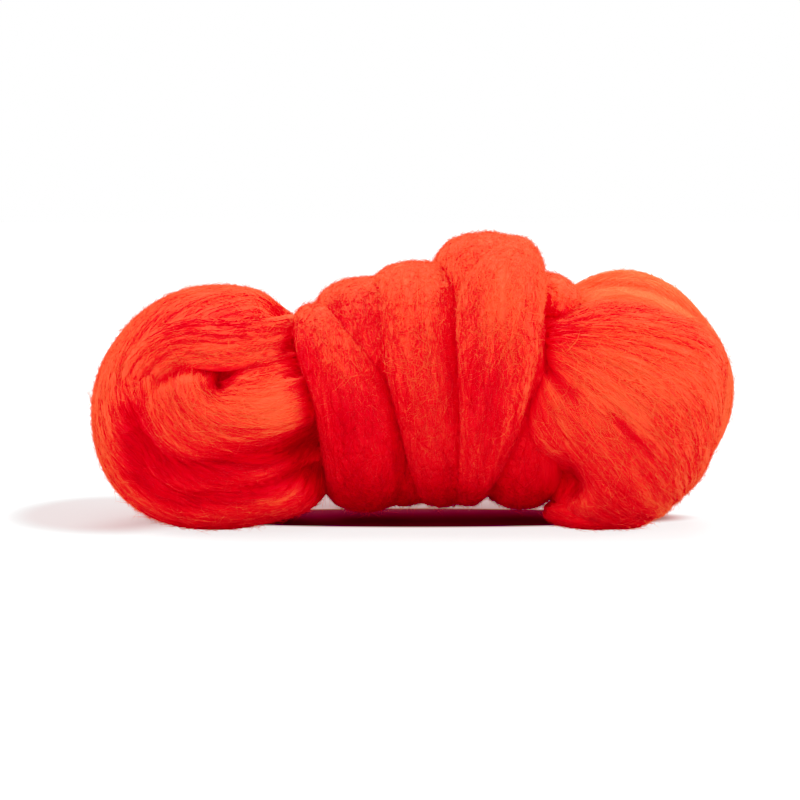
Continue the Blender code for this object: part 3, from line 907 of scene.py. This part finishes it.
# a three-sided tube round each line, drawn to a point at both ends. On its map a fibre takes a
# narrow strip: its shade across, and its length upwards
def makeFibrePiece(name, lines, normals, shade, radius):
    count, last, tiny = len(lines), lines.shape[1] - 1, 1e-9
    tangent = np.gradient(lines, axis=1)
    tangent /= np.maximum(np.linalg.norm(tangent, axis=-1), tiny)[..., None]
    side = np.cross(tangent, normals)
    side /= np.maximum(np.linalg.norm(side, axis=-1), tiny)[..., None]
    up = np.cross(side, tangent)
    ring = np.radians([90, 210, 330])
    t = np.linspace(-1, 1, last + 1)[1:-1]
    thick = radius[:, None] * (1 - fibreForm["taper"] * np.abs(t) ** 2)
    offset = (np.cos(ring)[:, None] * side[:, 1:-1, None, :]
              + np.sin(ring)[:, None] * up[:, 1:-1, None, :])
    rings = lines[:, 1:-1, None, :] + offset * thick[:, :, None, None]
    each = 2 + 3 * (last - 1)
    points = np.zeros((count, each, 3))
    points[:, 0], points[:, 1] = lines[:, 0], lines[:, -1]
    points[:, 2:] = rings.reshape(count, -1, 3)
    points[..., 2] = np.maximum(points[..., 2], fibreForm["clearance"] * mm)
    corner, shadeStep, height = [], [], []
    for k in range(3):
        n = (k + 1) % 3
        corner += [0, 2 + k, 2 + n]
        shadeStep += [k + 0.5, k, k + 1]
        height += [0, 1, 1]
        for j in range(last - 2):
            low, high = 2 + 3 * j, 5 + 3 * j
            corner += [low + k, high + k, high + n, low + n]
            shadeStep += [k, k, k + 1, k + 1]
            height += [j + 1, j + 2, j + 2, j + 1]
        corner += [2 + 3 * (last - 2) + k, 1, 2 + 3 * (last - 2) + n]
        shadeStep += [k, k + 0.5, k + 1]
        height += [last - 1, last, last - 1]
    sizes = np.tile([3] + [4] * (last - 2) + [3], 3)
    loops = (np.array(corner) + each * np.arange(count)[:, None]).ravel()
    starts = np.concatenate([[0], np.cumsum(np.tile(sizes, count))[:-1]])
    mesh = makeMesh(name, points, loops, starts)
    place = np.empty((count, len(corner), 2))
    strip = fibreForm["strip"]
    place[..., 0] = shade[:, None] * (1 - strip) + strip * np.array(shadeStep) / 3
    place[..., 1] = np.array(height) / last
    for layerName in ("shade", "OFBake"):
        mesh.uv_layers.new(name=layerName).uv.foreach_set("vector", place.ravel())
    mesh.update(calc_edges=True)
    mesh.validate()
    return showPiece(mesh, looseFibre)


# lengths, lifts and thickness in mm, slant and curl in degrees, shade 0 deep to 1 light, the share
# of the painted light and shade that each takes on, and how many there are on each square mm that
# shows; the loose kinds' lighter shades are partly painted light, for fibres that rise into the
# light
fibreKinds = dict(
    lying=dict(rooted=False, steps=4, length=(12, 28), slant=8, curl=4, lift=(0.0, 0.3),
               liftPower=1.0, tipPower=3, tipLift=0.5, thick=(0.10, 0.18), shade=(0.46, 0.17),
               paintedShadingShare=0.7, perArea=0.15),
    crossing=dict(rooted=False, steps=3, length=(4, 11), slant=36, curl=17, lift=(0.1, 0.6),
                  liftPower=1.3, tipPower=2, tipLift=0.8, thick=(0.07, 0.12), shade=(0.62, 0.11),
                  paintedShadingShare=0.6, perArea=0.11),
    fuzz=dict(rooted=True, steps=2, length=(2, 4.5), slant=30, curl=16, lift=(0.2, 1.7),
              liftPower=2.0, tipPower=1.5, tipLift=0.6, thick=(0.12, 0.18), shade=(0.58, 0.11),
              paintedShadingShare=0.7, perArea=0.95),
    standing=dict(rooted=True, steps=3, length=(4, 12), slant=40, curl=26, lift=(0.5, 3.0),
                  liftPower=2.2, tipPower=1.6, tipLift=2.4, thick=(0.08, 0.12),
                  shade=(0.74, 0.10), paintedShadingShare=0.4, perArea=0.08),
)

random = np.random.default_rng(seed)
for name, form in forms.items():
    for kindName, kind in fibreKinds.items():
        _, _, area = scatter(name, form, 1, random)
        count = int(area / mm ** 2 * kind["perArea"] * form.get(kindName, 1.0))
        a, b, _ = scatter(name, form, count, random)
        lines, normals = fibreLines(form, a, b, kind, random)
        # each fibre takes on the painted light and shade at its middle
        paintedShading = paintedShadingAt(name, lines[:, kind["steps"] // 2])
        shade = np.clip(random.normal(*kind["shade"], count) + kind["paintedShadingShare"] * paintedShading, 0, 1)
        radius = mm * random.uniform(*kind["thick"], count) / 2
        piece = makeFibrePiece(f"{kindName}_fibres_{name}", lines, normals, shade, radius)
        print(piece.name, count, "fibres", "%.0f cm2" % (area * 1e4))


# a glowing table, which gives back more light than it shows: its glow is dimmed inside three ovals,
# painted shadows beside, behind and under the piece, and under the piece it takes on the wool's red
# as a painted red shadow. Lengths are in metres, and a fade is a share of its oval
stage = dict(size=6.0, shown=(0.2, 0.2, 0.2, 1), given=(0.54, 0.54, 0.54, 1),
             paintedShadowRed=(0.17, 0.065, 0.048, 1), glow=0.8,
             # painted shadow on the floor to the left of the piece
             beside=dict(place=(-0.112, 0.022), half=(0.022, 0.028), fade=0.9, paintedShadow=0.5),
             # painted shadow on the floor behind the piece
             behind=dict(place=(0.0, 0.055), half=(0.055, 0.022), fade=1.0, paintedShadow=0.8),
             # painted contact shadow under the piece, red like the wool's bounce
             under=dict(place=(0.0, 0.013), half=(0.080, 0.018), fade=0.25, paintedShadow=1.0))


# 1 inside an oval, falling to 0 at its fade
def insideOval(tree, place, oval):
    halfX, halfY = oval["half"]
    scaled = addNode(tree, "ShaderNodeMapping", Vector=place, Scale=(1 / halfX, 1 / halfY, 1),
                     Location=(-oval["place"][0] / halfX, -oval["place"][1] / halfY, 0))
    reach = worked(tree, "LENGTH", scaled.outputs["Vector"], kind="ShaderNodeVectorMath",
                   result=1)
    fading = addNode(tree, "ShaderNodeMapRange", Value=reach, From_Min=1.0,
                     From_Max=1.0 + oval["fade"], To_Min=1.0, To_Max=0.0)
    fading.interpolation_type = "SMOOTHSTEP"
    return fading.outputs["Result"]


# the camera sees the shown colour and the glow, all else gets the given colour; inside the ovals
# the glow gives way to painted shadow, and the last of the ovals, under the piece, has the painted
# red shadow colour
def makeFloorMaterial():
    material, tree, shader = newMaterial("paleFloor")
    place = tree.nodes.new("ShaderNodeTexCoord").outputs["Object"]
    paintedShadow = 0.0
    for name in ("beside", "behind", "under"):
        inside = insideOval(tree, place, stage[name])
        paintedShadow = worked(tree, "MAXIMUM", worked(tree, "MULTIPLY", inside, stage[name]["paintedShadow"]), paintedShadow)
    glow = addNode(tree, "ShaderNodeMapRange", Value=paintedShadow, To_Min=stage["glow"], To_Max=0.0)
    seen = tree.nodes.new("ShaderNodeLightPath").outputs["Is Camera Ray"]
    plain = blended(tree, seen, stage["given"], stage["shown"], "RGBA")
    setSockets(tree, shader, Base_Color=blended(tree, inside, plain, stage["paintedShadowRed"], "RGBA"),
               Roughness=1.0, Specular_IOR_Level=0.0, Emission_Color=(1, 1, 1, 1),
               Emission_Strength=worked(tree, "MULTIPLY", glow.outputs["Result"], seen))
    return material


floorMesh = bpy.data.meshes.new("floor")
half = stage["size"] / 2
floorMesh.from_pydata([(-half, -half, 0), (half, -half, 0), (half, half, 0), (-half, half, 0)],
                      [], [(0, 1, 2, 3)])
floorMesh.materials.append(makeFloorMaterial())
floor = addObject("floor", floorMesh)

# the backdrop shows white; its light is stronger from behind than from the camera's side
studio = dict(shown=1.0, front=0.0, back=0.7)
world = bpy.data.worlds.new("studio")
bpy.context.scene.world = world
world.use_nodes = True
sky = world.node_tree
way = sky.nodes.new("ShaderNodeTexCoord")
parts = addNode(sky, "ShaderNodeSeparateXYZ", Vector=way.outputs["Generated"])
given = addNode(sky, "ShaderNodeMapRange", Value=parts.outputs["Y"], From_Min=-1.0, From_Max=1.0,
                To_Min=studio["front"], To_Max=studio["back"])
seen = sky.nodes.new("ShaderNodeLightPath").outputs["Is Camera Ray"]
setSockets(sky, sky.nodes["Background"], Color=(1, 1, 1, 1),
           Strength=blended(sky, seen, given.outputs["Result"], studio["shown"]))

# wide soft lights, by the side that each comes from (0 in front, 90 at the right) and its height
# above the floor, in degrees
breadth = math.radians(40)
softboxes = dict(
    top=dict(side=0, height=88, power=1.05),
    right=dict(side=79, height=21, power=3.3),
    left=dict(side=-32, height=28, power=1.65),
    farLeft=dict(side=-88, height=50, power=1.7),
    behind=dict(side=180, height=52, power=2.4),
    low=dict(side=0, height=3, power=0.65),
)
for name, box in softboxes.items():
    light = bpy.data.lights.new(name, "SUN")
    light.energy = box["power"]
    light.angle = breadth
    thing = addObject(name, light)
    side, height = math.radians(box["side"]), math.radians(box["height"])
    source = Vector((math.sin(side) * math.cos(height), -math.cos(side) * math.cos(height),
                     math.sin(height)))
    thing.rotation_euler = source.to_track_quat("Z", "Y").to_euler()

# lens and sensor in mm, elevation in degrees, the rest in metres
view = dict(lens=100, sensor=36, elevation=6.5, distance=0.7615, target=(-0.0048, 0.0, 0.0427))
camera = bpy.data.cameras.new("camera")
camera.lens = view["lens"]
camera.sensor_width = view["sensor"]
eye = addObject("camera", camera)
tilt = math.radians(view["elevation"])
target = Vector(view["target"]) + Vector(centring)
eye.location = target + view["distance"] * Vector((0, -math.cos(tilt), math.sin(tilt)))
eye.rotation_euler = (math.pi / 2 - tilt, 0, 0)
bpy.context.scene.camera = eye

# the film's response, as points on each colour's curve: full reds stay crimson in the shade and
# turn orange in the light
response = dict(
    red=((0.2, 0.24), (0.35, 0.44), (0.5, 0.62), (0.65, 0.76), (0.8, 0.86), (0.92, 0.93)),
    green=((0.04, 0.001), (0.054, 0.008), (0.072, 0.045), (0.096, 0.09), (0.15, 0.14), (0.3, 0.27),
           (0.6, 0.57)),
    blue=((0.015, 0.004), (0.028, 0.014), (0.045, 0.035), (0.1, 0.08), (0.3, 0.27), (0.6, 0.57)),
)
shown = bpy.context.scene.view_settings
shown.view_transform = "Standard"
shown.use_curve_mapping = True
for index, name in enumerate(("red", "green", "blue")):
    curve = shown.curve_mapping.curves[index]
    for place, value in response[name]:
        curve.points.new(place, value)
shown.curve_mapping.update()
